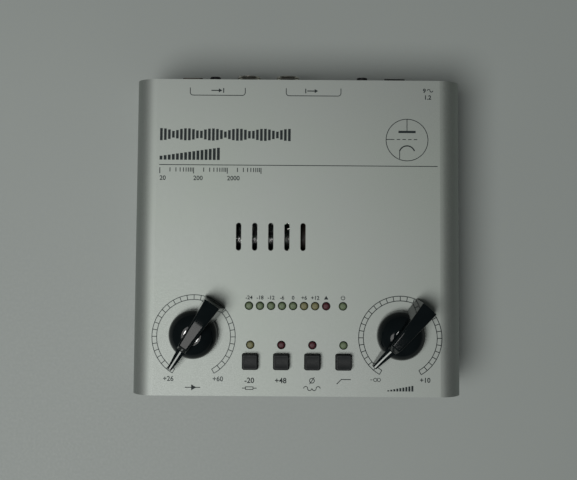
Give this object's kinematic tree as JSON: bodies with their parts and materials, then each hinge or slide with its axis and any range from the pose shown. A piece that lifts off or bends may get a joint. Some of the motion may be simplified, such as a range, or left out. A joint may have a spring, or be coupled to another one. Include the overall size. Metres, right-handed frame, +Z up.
{
  "type": "microphone preamplifier",
  "caption": "Desktop valve microphone preamplifier: folded metal case with pointer knobs, push keys and a lamp meter on top, and balanced sockets at the back.",
  "frame": {"origin": "middle of the overall box, at desk level", "axes": "+X to the user's right, +Y towards the sockets at the rear, +Z up"},
  "size_m": [0.1364, 0.1324, 0.0575],
  "materials": {
    "cover_paint": "fine metallic silver paint, satin",
    "tray_paint": "dark textured paint",
    "blackened_steel": "black oxide",
    "bright_steel": "zinc plated, satin",
    "foot_rubber": "matte",
    "circuit_board": "green solder mask",
    "black_plastic": "moulded, fine grain",
    "plunger_plastic": "natural acetal",
    "key_plastic": "moulded, semi-gloss",
    "rocker_plastic": "moulded, semi-gloss",
    "knob_plastic": "polished phenolic",
    "pointer_white": "inlaid paint",
    "plated_contacts": "tin or silver plate",
    "plated_nuts": "nickel plate",
    "latch_metal": "die cast, satin",
    "green_lens": "tinted diffused epoxy, unlit",
    "yellow_lens": "tinted diffused epoxy, unlit",
    "red_lens": "tinted diffused epoxy, unlit",
    "spacer_nylon": "natural nylon",
    "valve_glass": "clear blown glass",
    "stem_glass": "pressed glass",
    "anode_metal": "carbonised nickel",
    "mica": "sheet mica",
    "socket_plastic": "moulded ceramic-filled plastic",
    "capacitor_sleeve": "shrunk sleeve",
    "film_box": "moulded box",
    "heatsink_black": "black anodised extrusion",
    "epoxy_black": "moulded epoxy",
    "resistor_lacquer": "lacquered"
  },
  "bodies": {
    "case": {"top_cover": "cover_paint", "bottom_tray": "tray_paint", "case_screws": "blackened_steel", "rubber_feet": "foot_rubber", "main_board": "circuit_board", "board_standoffs": "bright_steel", "board_screws": "bright_steel", "control_board": "circuit_board", "link_housings": "black_plastic", "link_pins": "plated_contacts", "gain_pot_body": "black_plastic", "output_pot_body": "black_plastic", "pot_nuts": "bright_steel", "switch_bodies": "black_plastic", "green_lamps": "green_lens", "yellow_lamps": "yellow_lens", "red_lamps": "red_lens", "lamp_spacers": "spacer_nylon", "lamp_leads": "plated_contacts", "input_xlr_housing": "black_plastic", "input_xlr_insert": "black_plastic", "xlr_contacts": "plated_contacts", "output_xlr_housing": "black_plastic", "input_jack_body": "black_plastic", "output_jack_body": "black_plastic", "jack_contacts": "plated_contacts", "jack_nuts": "plated_nuts", "power_switch_body": "black_plastic", "power_inlet": "black_plastic", "power_inlet_pin": "plated_contacts", "valve_envelope": "valve_glass", "valve_stem": "stem_glass", "valve_pins": "plated_contacts", "valve_anodes": "anode_metal", "valve_spacers": "mica", "valve_getter": "plated_contacts", "valve_socket": "socket_plastic", "valve_riser_board": "circuit_board", "filter_capacitors": "capacitor_sleeve", "regulator_heatsink": "heatsink_black", "regulators": "epoxy_black", "amplifier_chips": "epoxy_black", "resistors": "resistor_lacquer", "film_capacitors": "film_box"},
    "gain_control": {"gain_knob": "knob_plastic", "gain_knob_pointer": "pointer_white", "gain_pot_shaft": "bright_steel"},
    "output_control": {"output_knob": "knob_plastic", "output_knob_pointer": "pointer_white", "output_pot_shaft": "bright_steel"},
    "pad_switch": {"pad_key": "key_plastic", "pad_plunger": "plunger_plastic"},
    "phantom_switch": {"phantom_key": "key_plastic", "phantom_plunger": "plunger_plastic"},
    "phase_switch": {"phase_key": "key_plastic", "phase_plunger": "plunger_plastic"},
    "limiter_switch": {"limiter_key": "key_plastic", "limiter_plunger": "plunger_plastic"},
    "xlr_latch": {"input_xlr_latch": "latch_metal"},
    "power_rocker": {"power_switch_rocker": "rocker_plastic"}
  },
  "joints": [
    {"name": "gain_knob_turn", "type": "hinge", "parent": "case", "child": "gain_control", "pos_m": [-0.0414, -0.04175, 0.045], "axis": [0, 0, 1], "range_deg": [-296.6, 3.4]},
    {"name": "output_knob_turn", "type": "hinge", "parent": "case", "child": "output_control", "pos_m": [0.0414, -0.04175, 0.045], "axis": [0, 0, 1], "range_deg": [-289.1, 10.9]},
    {"name": "pad_key_press", "type": "slide", "parent": "case", "child": "pad_switch", "axis": [0, 0, -1], "range_m": [0, 0.002], "stiffness_N_per_m": 250},
    {"name": "phantom_key_press", "type": "slide", "parent": "case", "child": "phantom_switch", "axis": [0, 0, -1], "range_m": [0, 0.002], "stiffness_N_per_m": 250},
    {"name": "phase_key_press", "type": "slide", "parent": "case", "child": "phase_switch", "axis": [0, 0, -1], "range_m": [0, 0.002], "stiffness_N_per_m": 250},
    {"name": "limiter_key_press", "type": "slide", "parent": "case", "child": "limiter_switch", "axis": [0, 0, -1], "range_m": [0, 0.002], "stiffness_N_per_m": 250},
    {"name": "power_rocker_tip", "type": "hinge", "parent": "case", "child": "power_rocker", "pos_m": [0.0409, 0.06035, 0.023], "axis": [1, 0, 0], "range_deg": [0, 24]},
    {"name": "xlr_latch_press", "type": "hinge", "parent": "case", "child": "xlr_latch", "pos_m": [-0.044, 0.05505, 0.03375], "axis": [-1, 0, 0], "range_deg": [0, 8], "stiffness_Nm_per_rad": 0.03}
  ]
}
